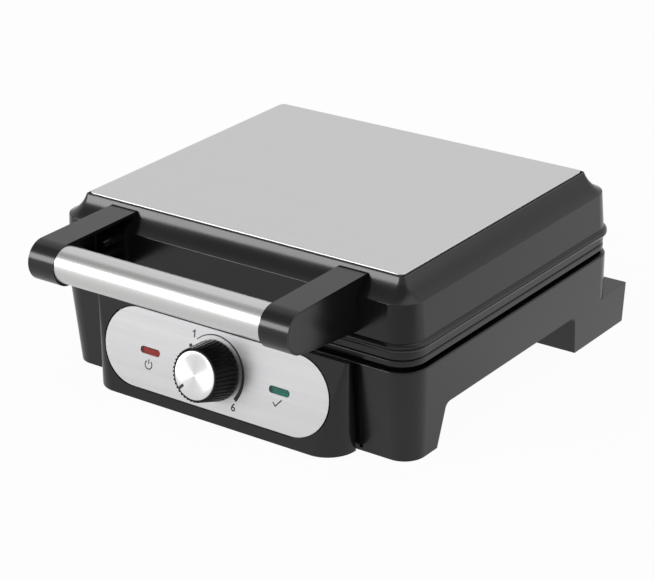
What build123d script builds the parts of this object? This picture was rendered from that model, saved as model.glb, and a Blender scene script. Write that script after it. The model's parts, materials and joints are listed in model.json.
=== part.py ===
from build123d import *
import os
from math import cos, radians, sin, tan

os.makedirs("parts", exist_ok=True)

# A square waffle iron for four thick waffles, standing on its own legs, lid closed.
# X runs across the front, Y from the front to the hinge, Z up from the table.
# The origin lies on the table, under the middle of the whole outline.

# Overall sizes of the base, and how far the handle and the rear legs stand out from it
base_width = 292.0
base_depth = 248.5
base_top = 65.0
handle_reach = 69.5
foot_reach = 23.0
mid_y = (handle_reach - foot_reach) / 2
front_y = mid_y - base_depth / 2
rear_y = mid_y + base_depth / 2
leg_rear = rear_y + foot_reach

# Draft, corners and walls of the base tub
side_draft = 4.0
front_draft = 4.8
rear_flare = 2.5
base_corner = 18.0
foot_corner = 15.0
edge_round = 1.2
wall = 2.8
floor_low = 30.0
floor_top = floor_low + wall
guard_height = 3.2

# Legs, cut out of the tub's lower edge, and the rubber pads under them
leg_lift = 0.8
leg_web = 3.5
front_leg_toe = 29.2
front_leg_top = 42.7
rear_leg_toe = 67.4
rear_leg_top = 71.0
leg_toe_width = 43.0
leg_top_width = 47.0
leg_inner_toe = base_width / 2 - leg_toe_width
leg_inner_top = base_width / 2 - leg_top_width
leg_fillet = 5.0
pocket_corner = 9.0
outrigger_corner = 2.0
outrigger_lean = 1.0
pad_radius = 10.0
pad_sink = 1.5
pad_stem = 3.0
pad_fit = 0.15
pad_inset_x = 23.0
pad_inset_y = 18.0

# The closing face, where the two halves meet, and the running gap between them
closing_z = 72.8
closing_gap = 0.8
low_rim = closing_z - closing_gap / 2
high_rim = closing_z + closing_gap / 2
seat = 0.1

# Lid cover
lid_step_x = 1.4
lid_step_y = 0.75
lid_width = base_width - 2 * lid_step_x
lid_depth = base_depth - 2 * lid_step_y
lid_half = lid_width / 2
lid_slim = (lid_width - lid_depth) / 2
lid_top = 124.0
lid_draft = 1.5
lid_skin = 2.6
shoulder_reach = 0.9
shoulder_drop = 0.8
cove_reach = 11.8
cove_drop = 12.9
cove_slope = 25.0
rim_width = 1.0
plate_proud = 1.4
ledge_width = 8.0
ledge_thickness = 2.4
cover_reveal = 0.5
lip_inset = 2.2
lip_rise = 3.0
plate_gap = 0.8
pan_height = 2.4
top_plate_thickness = 1.2
top_plate_edge = 0.7

# The frames that carry the cooking plates
frame_step = 1.6
frame_half = base_width / 2 - frame_step
frame_band = 4.0
frame_round = 1.2
bead_bulge = 2.5
band_height = 4.4
bead_band = 7.4
bead_edge = 0.3
skirt_step = 5.4
skirt_half = frame_half - skirt_step
skirt_thickness = 2.0
skirt_depth = 7.0

# Cooking plates
plate_step = 16.4
plate_half = frame_half - plate_step
plate_corner = 0.6
plate_flange = 3.8
plate_fit = 0.3
well_rim = 8.0
well_half = plate_half - well_rim
well_depth = 15.0
plate_skin = 3.0
dish_wall = 2.2
ledge_in = 5.2
ledge_out = 1.0
frame_skin = 2.0
stud_gap = 2.6
divider = 12.0
stud_base = 15.0
stud_taper = 10.0
studs_x = 5
studs_y = 4
stud_margin_x = 1.5
stud_margin_y = 0.9
stud_pitch_x = (well_half - divider / 2 - stud_margin_x) / studs_x
stud_pitch_y = (well_half - lid_slim - divider / 2 - stud_margin_y) / studs_y
inner_corner = 4.0

# Heating element, its reflector and the bosses that hold the reflector
element_radius = 3.25
element_fit = 0.15
element_spread = 15.0
element_bend = 16.0
reflector_step = 2.0
reflector_half = well_half - reflector_step
reflector_depth = 10.0
element_inset_x = 26.0
element_inset_y = 30.9
element_tail_gap = 12.25
element_half_x = reflector_half - element_inset_x
element_half_y = reflector_half - lid_slim - element_inset_y
element_tail = base_depth / 2 - element_tail_gap
sheet = 0.8
boss_radius = 4.5
boss_x = 60.0
boss_y = 22.0
notch_radius = 5.0

# Screws and the posts that they go into
screw_radius = 1.5
head_radius = 3.0
head_height = 1.8
head_sink = 2.2
screw_clearance = 0.1
post_screw = 14.0
short_screw = 7.0
post_radius = 4.2
post_inset = 12.1
post_row_inset = 38.3
post_station = frame_half - post_inset
post_pitch_y = frame_half - lid_slim - post_row_inset
rib_thickness = 1.8
rib_top = 55.0
plate_screw_radius = 1.2
plate_head_radius = 2.2
plate_head_height = 1.3
plate_screw_length = 5.5
plate_screw_inset = 2.6
plate_screw_station = plate_half - plate_screw_inset
plate_screw_x = 70.0
plate_screw_y = 60.0

# Console on the front of the base, with its tilted face
console_low = 2.3
console_high = 66.5
console_tilt = 11.8
console_face_y = 14.1
console_face_z = 36.9
console_half_low = 103.0
console_half_high = 104.0
console_corner_low = 20.5
console_corner_high = 2.0
console_skin = 2.8
neck_gap = 4.5
neck_inset = 3.0
console_boss_x = 84.0
console_boss_z = (13.0, 56.0)
console_boss_radius = 4.0
console_screw = 15.0
wire_hole_width = 60.0
wire_hole_height = 14.0
wire_hole_z = 47.0
reveal_rib = 2.2
reveal_rib_x = 102.1
reveal_lean = 2.9
reveal_rib_height = 1.0
reveal_groove = 2.0
reveal_groove_depth = 1.2
reveal_low = 3.0
reveal_high = 62.0

# Control plate, lamps, thermostat and knob, measured in the tilted face
panel_length = 185.6
panel_height = 54.0
panel_groove = 1.0
panel_sheet = 1.1
groove_depth = 2.0
lens_x = 53.8
lens_v = -0.4
lens_length = 16.2
lens_height = 4.6
lens_corner = 2.2
lens_proud = 0.5
lens_fit = 0.15
lens_flange = 2.0
lens_flange_thickness = 1.0
holder_depth = 8.0
lamp_radius = 2.2
lamp_length = 13.0
bush_radius = 4.8
bush_proud = 2.6
bush_fit = 0.1
nut_across = 13.0
nut_height = 2.0
shaft_radius = 3.0
shaft_fit = 0.05
shaft_sunk = 6.0
shaft_top = 13.4
thermostat_width = 30.0
thermostat_height = 26.0
thermostat_depth = 9.0
knob_lift = 0.6
knob_height = 19.0
knob_base_radius = 20.5
knob_rim_radius = 17.9
knob_flutes = 40
flute_radius = 0.8
knob_recess = 9.5
knob_recess_depth = 5.5
cap_radius = 16.3
cap_thickness = 0.8
cap_sink = 0.5
cap_fit = 0.2

# Handle: a steel tube between two hollow arms
tube_radius = 12.5
tube_wall = 1.5
tube_fit = 0.1
tube_back = 13.0
tube_z = 107.5
spigot_length = 9.0
spigot_wall = 2.4
arm_inner_x = 83.0
arm_width = 22.0
arm_nose = 14.2
arm_top = 120.8
arm_root_low = 85.7
arm_knee_back = 22.0
arm_knee_z = 91.0
arm_wall = 2.2
arm_gap = 0.15
arm_cover_thickness = 1.2
arm_cover_rim = 1.0
arm_cover_fit = 0.2
arm_rib_back = (38.0, 53.0)
arm_screw_z = (94.0, 103.0)
arm_boss_radius = 3.6
arm_boss_length = 12.0
arm_screw = 12.0
arm_ridge = 3.0

# Hinge behind the rear wall
hinge_z = 72.0
hinge_out = 9.0
hinge_y = rear_y + hinge_out
hinge_x = 85.0
knuckle_width = 24.0
knuckle_gap = 0.3
ear_width = 5.0
ear_low = 44.0
ear_high = 64.0
eye_radius = 7.0
pin_radius = 2.5
pin_fit = 0.05
pin_head = 1.5
pin_head_radius = 3.8
pin_end_gap = 0.1

# Cord outlet in the rear wall, and the parts on the floor of the tub
gland_z = 48.0
gland_bore = 3.7
gland_neck = 6.1
gland_flange = 9.0
gland_lip = 2.4
gland_fit = 0.1
terminal_x = 50.0
terminal_back = 34.0
terminal_width = 34.0
terminal_depth = 18.0
terminal_height = 10.4
terminal_ways = 3
terminal_hole = 1.8
fuse_radius = 2.2
fuse_length = 22.0
strap_width = 6.0
vent_length = 62.0
vent_width = 4.0
vent_pitch = 15.0
vent_rows = 9
vent_x = 45.0


# Outlines shared by several parts


def front_wall_y(height):
    """Where the outer face of the front wall stands at a height."""
    return front_y + front_draft * (1 - height / base_top)


def rear_wall_y(height):
    """Where the outer face of the rear wall stands at a height."""
    return rear_y + rear_flare * (1 - height / base_top)


def side_wall_x(height):
    """How far out the outer face of a side wall stands at a height."""
    return base_width / 2 - side_draft * (1 - height / base_top)


def tub_outline(height, inset):
    """The drafted wall of the base at a height, moved inwards by inset."""
    front = front_wall_y(height) + inset
    rear = rear_wall_y(height) - inset
    half = side_wall_x(height) - inset
    corner = foot_corner + (base_corner - foot_corner) * height / base_top - inset
    with BuildSketch(Plane.XY.offset(height)) as outline:
        with Locations((0, (front + rear) / 2)):
            RectangleRounded(2 * half, rear - front, corner)
    return outline.sketch


def block(x_low, x_high, y_low, y_high, height, corner):
    """A rounded rectangle between two corners, at a height."""
    with BuildSketch(Plane.XY.offset(height)) as outline:
        with Locations(((x_low + x_high) / 2, (y_low + y_high) / 2)):
            RectangleRounded(abs(x_high - x_low), y_high - y_low, corner)
    return outline.sketch


def frame_outline(station, height):
    """A rounded rectangle about the body's middle, reaching station to each side."""
    corner = max(plate_corner + station - plate_half, inner_corner)
    with BuildSketch(Plane.XY.offset(height)) as outline:
        with Locations((0, mid_y)):
            RectangleRounded(2 * station, 2 * (station - lid_slim), corner)
    return outline.sketch


def hollow_outline(outer, inner, height):
    """The band between two stations of the body's outline."""
    return frame_outline(outer, height) - frame_outline(inner, height)


def ring(section, station):
    """Sweeps a section drawn on the station plane once round the body's outline."""
    corner = plate_corner + station - plate_half
    reach = station - lid_slim
    with BuildPart() as swept:
        with BuildLine() as half_path:
            FilletPolyline(
                (0, mid_y - reach),
                (station, mid_y - reach),
                (station, mid_y + reach),
                (0, mid_y + reach),
                radius=corner,
            )
        sweep(section, path=half_path.line)
        mirror(about=Plane.YZ)
    return swept.part


def console_face(height):
    """Where the console's tilted face stands at a height."""
    rise = (height - console_face_z) * tan(radians(console_tilt))
    return front_y - console_face_y + rise


def console_section(height, side_inset, front_inset, rear_gap):
    """Console outline at a height, its front corners round, its rear off the wall."""
    rise = (height - console_low) / (console_high - console_low)
    half = console_half_low + (console_half_high - console_half_low) * rise - side_inset
    corner = console_corner_low + (console_corner_high - console_corner_low) * rise
    front = console_face(height) + front_inset
    rear = front_wall_y(height) - rear_gap
    with BuildSketch(Plane.XY.offset(height)) as section:
        with Locations((0, (front + rear) / 2)):
            Rectangle(2 * half, rear - front)
        round_by = max(corner - front_inset, console_corner_high / 2)
        fillet(section.vertices().group_by(Axis.Y)[0], round_by)
    return section.sketch


def screw(place, length, shank, head, head_rise):
    """A round-headed screw: the head stands on place, the shank goes down from it."""
    with BuildPart() as made:
        with BuildSketch(place):
            Circle(head)
        extrude(amount=head_rise)
        with BuildSketch(place):
            Circle(shank)
        extrude(amount=-length)
    return made.part


# Places that several parts share

station_plane = Plane(origin=(0, mid_y + lid_slim, 0), x_dir=(0, -1, 0), z_dir=(-1, 0, 0))
panel_normal = (0, -cos(radians(console_tilt)), sin(radians(console_tilt)))
panel = Plane(
    origin=(0, console_face(console_face_z), console_face_z),
    x_dir=(1, 0, 0),
    z_dir=panel_normal,
)
console_inside = panel.offset(-console_skin * cos(radians(console_tilt)))
lens_places = [(-lens_x, lens_v), (lens_x, lens_v)]
post_places = [
    (side * post_station, mid_y + row * post_pitch_y)
    for side in (-1, 1)
    for row in (-1, 0, 1)
]
plate_screw_places = [
    (side * plate_screw_station, mid_y + row * plate_screw_y)
    for side in (-1, 1)
    for row in (-1, 1)
] + [
    (column * plate_screw_x, mid_y + side * (plate_screw_station - lid_slim))
    for side in (-1, 1)
    for column in (-1, 1)
]
boss_places = [(sx * boss_x, mid_y + sy * boss_y) for sx in (-1, 1) for sy in (-1, 1)]
pad_places = [
    (side * (base_width / 2 - pad_inset_x), y)
    for side in (-1, 1)
    for y in (front_y + pad_inset_y, leg_rear - pad_inset_y)
]
ear_places = [
    side * hinge_x + step * (knuckle_width / 2 + knuckle_gap + ear_width / 2)
    for side in (-1, 1)
    for step in (-1, 1)
]
gland_plane = Plane(
    origin=(0, rear_wall_y(gland_z), gland_z),
    x_dir=(1, 0, 0),
    z_dir=(0, base_top, rear_flare),
)
flange_low = low_rim - plate_flange
flange_high = high_rim + plate_flange
frame_back_low = low_rim - 2 * head_sink - frame_skin
frame_back_high = high_rim + 2 * head_sink + frame_skin
well_floor = low_rim - well_depth
well_back = well_floor - plate_skin
console_back_y = front_wall_y(0) + wall

# Base housing: a drafted tub on four hollow legs, the rear ones reaching out behind

with BuildPart() as base_housing:
    loft([tub_outline(leg_lift, 0), tub_outline(base_top, 0)], ruled=True)
    fillet(base_housing.edges().group_by(Axis.Z)[-1], edge_round)
    # Rear legs reach back past the wall, flush with the drafted sides
    for side in (-1, 1):
        sections = []
        for height, inner, lean in (
            (leg_lift, leg_inner_toe, outrigger_lean),
            (floor_low, leg_inner_top, 0),
        ):
            outer = side_wall_x(height)
            front = rear_y - base_corner - pocket_corner
            rear = leg_rear - lean
            sections.append(
                block(side * inner, side * outer, front, rear, height, outrigger_corner)
            )
        loft(sections, ruled=True)
    # The open spans between the legs, seen from the side and from the rear
    with BuildSketch(Plane.YZ) as side_span:
        with BuildLine():
            Polyline(
                (front_y + front_draft + front_leg_toe, 0),
                (front_y + front_leg_top, floor_low),
                (leg_rear - rear_leg_top, floor_low),
                (leg_rear - rear_leg_toe, 0),
                close=True,
            )
        make_face()
        fillet(side_span.vertices().group_by(Axis.Y)[-1], leg_fillet)
    extrude(amount=base_width / 2, both=True, mode=Mode.SUBTRACT)
    with BuildSketch(Plane.XZ.offset(-console_back_y)) as rear_span:
        with BuildLine():
            Polyline(
                (-leg_inner_toe, 0),
                (-leg_inner_top, floor_low),
                (leg_inner_top, floor_low),
                (leg_inner_toe, 0),
                close=True,
            )
        make_face()
        fillet(rear_span.vertices().group_by(Axis.Y)[-1], leg_fillet)
    extrude(amount=-(leg_rear - front_y), mode=Mode.SUBTRACT)
    # Inside of the tub, going on down into the legs
    loft(
        [tub_outline(floor_top, wall), tub_outline(base_top, wall)],
        ruled=True,
        mode=Mode.SUBTRACT,
    )
    for side in (-1, 1):
        for toe_front, top_front, toe_rear, top_rear in (
            (
                front_wall_y(leg_lift) + wall,
                front_wall_y(floor_top) + wall,
                front_y + front_draft + front_leg_toe - wall,
                front_y + front_leg_top - 2 * wall,
            ),
            (
                leg_rear - rear_leg_toe + wall,
                leg_rear - rear_leg_top + 3 * wall,
                rear_y - outrigger_lean,
                rear_y - wall,
            ),
        ):
            sections = []
            for height, inner, low, high in (
                (leg_lift + leg_web, leg_inner_toe + wall, toe_front, toe_rear),
                (floor_top, leg_inner_top + 2 * wall, top_front, top_rear),
            ):
                outer = side_wall_x(height) - wall
                sections.append(
                    block(side * inner, side * outer, low, high, height, pocket_corner)
                )
            loft(sections, ruled=True, mode=Mode.SUBTRACT)
    # Outriggers are hollow from inside the tub as well
    for side in (-1, 1):
        sections = []
        for height, inner, lean in (
            (leg_lift + leg_web, leg_inner_toe + wall, outrigger_lean),
            (floor_low - wall, leg_inner_top + 2 * wall, 0),
        ):
            outer = side_wall_x(height) - wall
            front = rear_y - pocket_corner - base_corner
            rear = leg_rear - lean - wall
            sections.append(
                block(side * inner, side * outer, front, rear, height, outrigger_corner)
            )
        loft(sections, ruled=True, mode=Mode.SUBTRACT)
    # Pads under the legs
    with BuildSketch(Plane.XY.offset(leg_lift)):
        with Locations(*pad_places):
            Circle(pad_radius + pad_fit)
    extrude(amount=pad_sink, mode=Mode.SUBTRACT)
    with BuildSketch(Plane.XY.offset(leg_lift)):
        with Locations(*pad_places):
            Circle(pad_stem + screw_clearance)
    extrude(amount=leg_web + seat, mode=Mode.SUBTRACT)
    # Air slots in the floor
    with BuildSketch(Plane.XY.offset(floor_low)):
        for column in (-1, 1):
            with Locations((column * vent_x, mid_y)):
                with GridLocations(vent_length, vent_pitch, 1, vent_rows):
                    SlotOverall(vent_length, vent_width)
    extrude(amount=wall, mode=Mode.SUBTRACT)
    # Posts for the plate frame, each stiffened by a rib to the side wall
    with BuildSketch(Plane.XY.offset(floor_low + wall / 2)):
        with Locations(*post_places):
            Circle(post_radius)
    extrude(amount=frame_back_low - seat - floor_low - wall / 2)
    with BuildSketch(Plane.XY.offset(floor_low + wall / 2)):
        for side in (-1, 1):
            for row in (-1, 0, 1):
                rib_reach = side_wall_x(floor_top) - wall / 2 - post_station
                with Locations(
                    (side * (post_station + rib_reach / 2), mid_y + row * post_pitch_y)
                ):
                    Rectangle(rib_reach, rib_thickness)
    extrude(amount=rib_top - floor_low)
    with BuildSketch(Plane.XY.offset(frame_back_low - seat)):
        with Locations(*post_places):
            Circle(screw_radius + screw_clearance)
    extrude(amount=-post_screw, mode=Mode.SUBTRACT)
    # Rear guard, closing the slit below the plate frame
    with BuildSketch(Plane.XY.offset(base_top - wall)):
        with Locations((0, rear_y - wall / 2)):
            Rectangle(2 * (hinge_x + knuckle_width), wall)
    extrude(amount=guard_height + wall)
    # Reveal rib and groove beside the console
    for side in (-1, 1):
        lean = radians(side * reveal_lean)
        with BuildSketch(
            Plane((side * reveal_rib_x, 0, 0), x_dir=(0, 1, 0), z_dir=(cos(lean), 0, -sin(lean)))
        ):
            with BuildLine():
                Polyline(
                    (front_wall_y(reveal_low) - reveal_rib_height, reveal_low),
                    (front_wall_y(reveal_high) - reveal_rib_height, reveal_high),
                    (front_wall_y(reveal_high) + wall / 2, reveal_high),
                    (front_wall_y(reveal_low) + wall / 2, reveal_low),
                    close=True,
                )
            make_face()
        extrude(amount=reveal_rib / 2, both=True)
        groove_x = reveal_rib_x + (reveal_rib + reveal_groove) / 2
        with BuildSketch(
            Plane((side * groove_x, 0, 0), x_dir=(0, 1, 0), z_dir=(cos(lean), 0, -sin(lean)))
        ):
            with BuildLine():
                Polyline(
                    (front_wall_y(reveal_low) + reveal_groove_depth, reveal_low),
                    (front_wall_y(reveal_high) + reveal_groove_depth, reveal_high),
                    (front_wall_y(reveal_high) - wall, reveal_high),
                    (front_wall_y(reveal_low) - wall, reveal_low),
                    close=True,
                )
            make_face()
        extrude(amount=reveal_groove / 2, both=True, mode=Mode.SUBTRACT)
    # Wire hole and screw holes behind the console
    with BuildSketch(Plane.XZ.offset(-front_y)):
        with Locations((0, wire_hole_z)):
            RectangleRounded(wire_hole_width, wire_hole_height, inner_corner)
        for z in console_boss_z:
            with Locations((-console_boss_x, z), (console_boss_x, z)):
                Circle(screw_radius + screw_clearance)
    extrude(amount=base_corner, both=True, mode=Mode.SUBTRACT)
    # Ears of the hinge
    for x in ear_places:
        with BuildSketch(Plane.YZ.offset(x)):
            with BuildLine():
                CenterArc((hinge_y, hinge_z), eye_radius, 0, 360)
                Line((rear_y - wall / 2, ear_low), (rear_y - wall / 2, ear_high))
            make_hull()
        extrude(amount=ear_width / 2, both=True)
    with BuildSketch(Plane.YZ):
        with Locations((hinge_y, hinge_z)):
            Circle(pin_radius + pin_fit)
    extrude(amount=base_width / 2, both=True, mode=Mode.SUBTRACT)
    # Round hole for the cord gland
    with BuildSketch(gland_plane.offset(wall)):
        Circle(gland_neck + gland_fit)
    extrude(amount=-3 * wall, mode=Mode.SUBTRACT)
base_housing.part.label = "base_housing"
export_step(base_housing.part, "parts/base_housing.step")

# Frame that carries the lower cooking plate, resting on the base's posts

with BuildPart() as base_frame:
    with BuildSketch(station_plane) as band:
        with BuildLine():
            Polyline(
                (frame_half, low_rim),
                (plate_half + plate_fit, low_rim),
                (plate_half + plate_fit, frame_back_low),
                (skirt_half - skirt_thickness, frame_back_low),
                (skirt_half - skirt_thickness, frame_back_low - skirt_depth),
                (skirt_half, frame_back_low - skirt_depth),
                (skirt_half, low_rim - frame_band),
                (frame_half, low_rim - frame_band),
                close=True,
            )
        make_face()
        fillet(band.vertices().group_by(Axis.X)[-1].sort_by(Axis.Y)[-1], frame_round)
    add(ring(band.sketch, frame_half))
    extrude(
        hollow_outline(plate_half + ledge_out, plate_half - ledge_in, frame_back_low),
        amount=flange_low - frame_back_low,
    )
    with BuildSketch(Plane.XY.offset(low_rim)):
        with Locations(*post_places):
            Circle(head_radius + screw_clearance)
    extrude(amount=-head_sink, mode=Mode.SUBTRACT)
    with BuildSketch(Plane.XY.offset(low_rim)):
        with Locations(*post_places):
            Circle(screw_radius + screw_clearance)
    extrude(amount=-frame_band - post_screw, mode=Mode.SUBTRACT)
    with BuildSketch(Plane.XY.offset(flange_low)):
        with Locations(*plate_screw_places):
            Circle(plate_screw_radius + screw_clearance)
    extrude(amount=-frame_band, mode=Mode.SUBTRACT)
base_frame.part.label = "base_frame"
export_step(base_frame.part, "parts/base_frame.step")

# Frame of the lid, with the lower half of the bead that runs round the whole body

with BuildPart() as lid_frame:
    bead_low = high_rim + band_height
    bead_high = high_rim + bead_band
    with BuildSketch(station_plane) as band:
        with BuildLine():
            Polyline(
                (frame_half + bead_bulge, bead_high),
                (skirt_half - skirt_thickness, bead_high),
                (skirt_half - skirt_thickness, frame_back_high),
                (plate_half + plate_fit, frame_back_high),
                (plate_half + plate_fit, high_rim),
                (frame_half, high_rim),
                (frame_half, bead_low),
            )
            TangentArc(
                (frame_half + bead_bulge, bead_high), (frame_half, bead_low), tangent=(0, -1)
            )
        make_face()
    add(ring(band.sketch, frame_half))
    extrude(
        hollow_outline(plate_half + ledge_out, plate_half - ledge_in, flange_high),
        amount=frame_back_high - flange_high,
    )
    # Knuckles of the hinge, reaching back over the base's rear wall
    for side in (-1, 1):
        with BuildSketch(Plane.YZ.offset(side * hinge_x)):
            frame_rear = mid_y + frame_half - lid_slim
            with BuildLine():
                CenterArc((hinge_y, hinge_z), eye_radius, 0, 360)
                Line((frame_rear - bead_edge, bead_low), (frame_rear - bead_edge, bead_high))
            make_hull()
        extrude(amount=knuckle_width / 2, both=True)
    with BuildSketch(Plane.YZ):
        with Locations((hinge_y, hinge_z)):
            Circle(pin_radius + pin_fit)
    extrude(amount=base_width / 2, both=True, mode=Mode.SUBTRACT)
    with BuildSketch(Plane.XY.offset(high_rim)):
        with Locations(*post_places):
            Circle(head_radius + screw_clearance)
    extrude(amount=head_sink, mode=Mode.SUBTRACT)
    with BuildSketch(Plane.XY.offset(high_rim)):
        with Locations(*post_places):
            Circle(screw_radius + screw_clearance)
    extrude(amount=bead_band, mode=Mode.SUBTRACT)
    with BuildSketch(Plane.XY.offset(flange_high)):
        with Locations(*plate_screw_places):
            Circle(plate_screw_radius + screw_clearance)
    extrude(amount=bead_band, mode=Mode.SUBTRACT)
lid_frame.part.label = "lid_frame"
export_step(lid_frame.part, "parts/lid_frame.step")

# Lower cooking plate: a cast dish with four waffle grids of tapered studs

half_y = well_half - lid_slim
with BuildPart() as lower_cooking_plate:
    extrude(frame_outline(plate_half, flange_low), amount=plate_flange)
    extrude(frame_outline(well_half + dish_wall, well_back), amount=flange_low - well_back)
    extrude(frame_outline(well_half, well_floor), amount=well_depth, mode=Mode.SUBTRACT)
    # Low walls between the waffles
    with BuildSketch(Plane.XY.offset(well_floor)):
        with Locations((0, mid_y)):
            Rectangle(2 * well_half, divider)
            Rectangle(divider, 2 * half_y)
    extrude(amount=well_depth - stud_gap, taper=stud_taper)
    # Studs, each waffle a grid of them
    with BuildSketch(Plane.XY.offset(well_floor)):
        for side_x in (-1, 1):
            for side_y in (-1, 1):
                with Locations(
                    (
                        side_x * (well_half + divider / 2) / 2,
                        mid_y + side_y * (half_y + divider / 2) / 2,
                    )
                ):
                    with GridLocations(stud_pitch_x, stud_pitch_y, studs_x, studs_y):
                        Rectangle(stud_base, stud_base)
    extrude(amount=well_depth - stud_gap, taper=stud_taper)
    # Bosses for the reflector's screws, and countersinks for the plate's own
    with BuildSketch(Plane.XY.offset(well_back)):
        with Locations(*boss_places):
            Circle(boss_radius)
    extrude(amount=-reflector_depth + seat)
    with BuildSketch(Plane.XY.offset(well_back - reflector_depth)):
        with Locations(*boss_places):
            Circle(screw_radius + screw_clearance)
    extrude(amount=short_screw + seat, mode=Mode.SUBTRACT)
    with BuildSketch(Plane.XY.offset(low_rim)):
        with Locations(*plate_screw_places):
            Circle(plate_head_radius + screw_clearance)
    extrude(amount=-plate_head_height - seat, mode=Mode.SUBTRACT)
    with BuildSketch(Plane.XY.offset(low_rim)):
        with Locations(*plate_screw_places):
            Circle(plate_screw_radius + screw_clearance)
    extrude(amount=-plate_flange, mode=Mode.SUBTRACT)
lower_cooking_plate.part.label = "lower_cooking_plate"
export_step(lower_cooking_plate.part, "parts/lower_cooking_plate.step")

# Lower heating element: a sheathed rod bent round under the four waffles

element_z = well_back - element_radius - element_fit
with BuildPart() as lower_element:
    with BuildLine(Plane.XY.offset(element_z)) as element_path:
        FilletPolyline(
            (-element_spread, mid_y + element_tail),
            (-element_spread, mid_y + element_half_y),
            (-element_half_x, mid_y + element_half_y),
            (-element_half_x, mid_y - element_half_y),
            (element_half_x, mid_y - element_half_y),
            (element_half_x, mid_y + element_half_y),
            (element_spread, mid_y + element_half_y),
            (element_spread, mid_y + element_tail),
            radius=element_bend,
        )
    with BuildSketch(
        Plane(origin=(-element_spread, mid_y + element_tail, element_z), z_dir=(0, -1, 0))
    ):
        Circle(element_radius)
    sweep(path=element_path.line)
lower_element.part.label = "lower_element"
export_step(lower_element.part, "parts/lower_element.step")

# Lower reflector: a shallow sheet pan below the element

with BuildPart() as lower_reflector:
    pan_floor = well_back - reflector_depth - sheet
    extrude(frame_outline(reflector_half, pan_floor), amount=reflector_depth + sheet - seat)
    extrude(
        frame_outline(reflector_half - sheet, pan_floor + sheet),
        amount=reflector_depth,
        mode=Mode.SUBTRACT,
    )
    with BuildSketch(Plane.XY.offset(pan_floor)):
        with Locations(*boss_places):
            Circle(screw_radius + screw_clearance)
    extrude(amount=sheet, mode=Mode.SUBTRACT)
    with BuildSketch(Plane.XZ.offset(-mid_y)):
        with Locations((-element_spread, element_z), (element_spread, element_z)):
            Rectangle(2 * notch_radius, 2 * notch_radius)
    extrude(amount=-reflector_half, mode=Mode.SUBTRACT)
lower_reflector.part.label = "lower_reflector"
export_step(lower_reflector.part, "parts/lower_reflector.step")

# The upper plate, element and reflector mirror the lower ones across the closing face

closing_face = Plane.XY.offset(closing_z)
upper_parts = (
    ("upper_cooking_plate", lower_cooking_plate.part),
    ("upper_element", lower_element.part),
    ("upper_reflector", lower_reflector.part),
)
for part_name, lower in upper_parts:
    with BuildPart() as upper:
        mirror(lower, about=closing_face)
    upper.part.label = part_name
    export_step(upper.part, f"parts/{part_name}.step")

# Screws that hold the frames, plates and reflectors, lower ones first

post_head_z = low_rim - head_sink
with BuildPart() as frame_screws:
    for x, y in post_places:
        add(screw(Plane((x, y, post_head_z)), post_screw, screw_radius, head_radius, head_height))
with BuildPart() as plate_screws:
    for x, y in plate_screw_places:
        add(
            screw(
                Plane((x, y, low_rim - plate_head_height)),
                plate_screw_length,
                plate_screw_radius,
                plate_head_radius,
                plate_head_height - seat,
            )
        )
with BuildPart() as reflector_screws:
    for x, y in boss_places:
        add(
            screw(
                Plane((x, y, pan_floor - seat), z_dir=(0, 0, -1)),
                short_screw,
                screw_radius,
                head_radius,
                head_height,
            )
        )
for part_name, screws in (
    ("frame_screws", frame_screws.part),
    ("plate_screws", plate_screws.part),
    ("reflector_screws", reflector_screws.part),
):
    screws.label = f"lower_{part_name}"
    export_step(screws, f"parts/lower_{part_name}.step")
    with BuildPart() as upper:
        mirror(screws, about=closing_face)
    upper.part.label = f"upper_{part_name}"
    export_step(upper.part, f"parts/upper_{part_name}.step")

# Thermal fuses, strapped against the reflectors

with BuildPart() as lower_thermal_fuse:
    fuse_z = pan_floor - seat - fuse_radius
    with BuildSketch(Plane.YZ.offset(-fuse_length / 2)):
        with Locations((mid_y, fuse_z)):
            Circle(fuse_radius)
    extrude(amount=fuse_length)
    with BuildSketch(Plane.YZ.offset(-strap_width / 2)):
        with Locations((mid_y, pan_floor - seat - fuse_radius - sheet / 2)):
            Rectangle(4 * fuse_radius, 2 * fuse_radius + sheet)
        with Locations((mid_y, fuse_z)):
            Circle(fuse_radius, mode=Mode.SUBTRACT)
    extrude(amount=strap_width)
lower_thermal_fuse.part.label = "lower_thermal_fuse"
export_step(lower_thermal_fuse.part, "parts/lower_thermal_fuse.step")
with BuildPart() as upper_thermal_fuse:
    mirror(lower_thermal_fuse.part, about=closing_face)
upper_thermal_fuse.part.label = "upper_thermal_fuse"
export_step(upper_thermal_fuse.part, "parts/upper_thermal_fuse.step")

# Lid cover: a flared lip, a drafted wall, a crisp shoulder and a hollow cove up to the rim

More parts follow.
